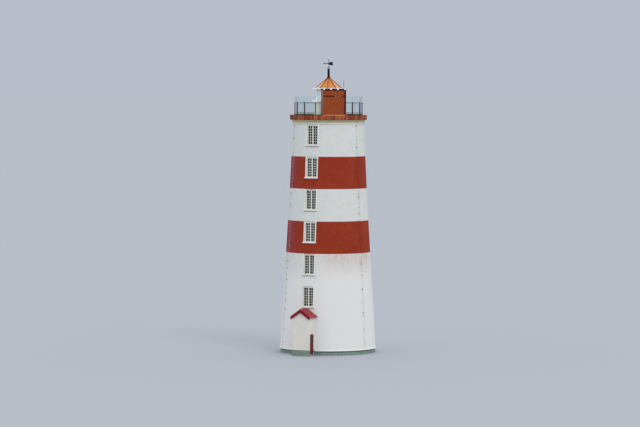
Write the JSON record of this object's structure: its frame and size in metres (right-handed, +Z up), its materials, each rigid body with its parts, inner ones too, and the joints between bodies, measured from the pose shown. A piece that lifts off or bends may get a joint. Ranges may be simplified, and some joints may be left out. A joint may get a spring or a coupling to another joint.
{
  "type": "lighthouse",
  "caption": "Tall round masonry lighthouse in red and white bands, with windows, a railed gallery, a many-sided lantern, a wind vane and a small gabled entrance porch.",
  "frame": {"origin": "ground level on the tower's axis", "axes": "+Z up along the tower's axis; -Y towards the front of the porch and the front window column; +X towards the side of the porch with the door"},
  "size_m": [9.21, 10.465, 27.738],
  "materials": {
    "white_render": "matt painted render",
    "red_render": "matt painted render",
    "plinth_stone": "painted masonry",
    "floor_boards": "bare boards",
    "white_surround_stone": "painted masonry",
    "cream_painted_timber": "painted",
    "porch_wall_boards": "painted",
    "clear_glass": "clear",
    "lantern_pane_glass": "clear",
    "cornice_stone": "matt painted render",
    "deck_concrete": "rough",
    "fascia_sheet": "weathered paint",
    "kerb_metal": "weathered paint",
    "gallery_iron": "weathered paint",
    "gallery_rail_paint": "weathered paint",
    "cabin_sheet": "weathered paint",
    "cabin_dark_metal": "weathered paint",
    "cabin_flashing": "weathered paint",
    "lantern_panel_paint": "satin paint",
    "white_painted_metal": "satin paint",
    "lantern_roof_sheet": "satin paint",
    "lantern_rib_metal": "satin paint",
    "vent_iron": "dark paint",
    "conductor_metal": "weathered",
    "porch_plinth_paint": "painted render",
    "porch_floor_concrete": "trowelled",
    "porch_roof_sheet": "gloss paint",
    "porch_bargeboard_paint": "gloss paint",
    "door_paint": "painted",
    "door_ironwork": "dark paint"
  },
  "bodies": {
    "lighthouse": {"cabin_end_walls": "cabin_sheet", "cabin_roof": "cabin_dark_metal", "cabin_roof_rod": "cabin_dark_metal", "cabin_seam": "cabin_dark_metal", "cabin_side_walls": "cabin_sheet", "cabin_trim": "cabin_flashing", "conductor_clips": "conductor_metal", "cornice": "cornice_stone", "floors": "floor_boards", "foundation_plinth": "plinth_stone", "gallery_deck": "deck_concrete", "gallery_fascia": "fascia_sheet", "gallery_kerb": "kerb_metal", "gallery_posts": "gallery_iron", "gallery_rails": "gallery_rail_paint", "ground_wall": "white_render", "ground_wall_beside_door": "white_render", "ground_wall_over_door": "white_render", "lantern_corner_posts": "white_painted_metal", "lantern_eave": "white_painted_metal", "lantern_glass": "lantern_pane_glass", "lantern_mullions": "white_painted_metal", "lantern_roof": "lantern_roof_sheet", "lantern_roof_ribs": "lantern_rib_metal", "lantern_sill": "white_painted_metal", "lantern_wall_panels": "lantern_panel_paint", "lightning_conductors": "conductor_metal", "porch_bargeboards": "porch_bargeboard_paint", "porch_door_frame": "cream_painted_timber", "porch_floor": "porch_floor_concrete", "porch_front_plinth": "porch_plinth_paint", "porch_gable_wall": "porch_wall_boards", "porch_hinge_pins": "door_ironwork", "porch_left_wall": "porch_wall_boards", "porch_ridge_cap": "porch_roof_sheet", "porch_roof_slopes": "porch_roof_sheet", "porch_side_plinths": "porch_plinth_paint", "porch_wall_beside_door": "porch_wall_boards", "porch_wall_over_door": "porch_wall_boards", "storey_1_wall": "white_render", "storey_2_wall": "white_render", "storey_3_wall": "red_render", "storey_4_wall": "white_render", "storey_5_wall": "red_render", "storey_6_wall": "white_render", "vane_spindle": "vent_iron", "vent_stack": "vent_iron", "window_frames": "cream_painted_timber", "window_glass": "clear_glass", "window_sills": "white_surround_stone", "window_surrounds": "white_surround_stone"},
    "weather_vane": {"vane_arrow": "vent_iron"},
    "porch_door": {"porch_door_leaf": "door_paint", "porch_door_glass": "clear_glass", "porch_hinge_straps": "door_ironwork", "porch_door_handle": "door_ironwork"}
  },
  "joints": [
    {"name": "vane_turn", "type": "hinge", "parent": "lighthouse", "child": "weather_vane", "pos_m": [0, 0, 27.39], "axis": [0, 0, 1], "continuous": true},
    {"name": "porch_door_swing", "type": "hinge", "parent": "lighthouse", "child": "porch_door", "pos_m": [0.861, -4.6965, 0.41], "axis": [0, 0, 1], "range_deg": [0, 95]}
  ]
}
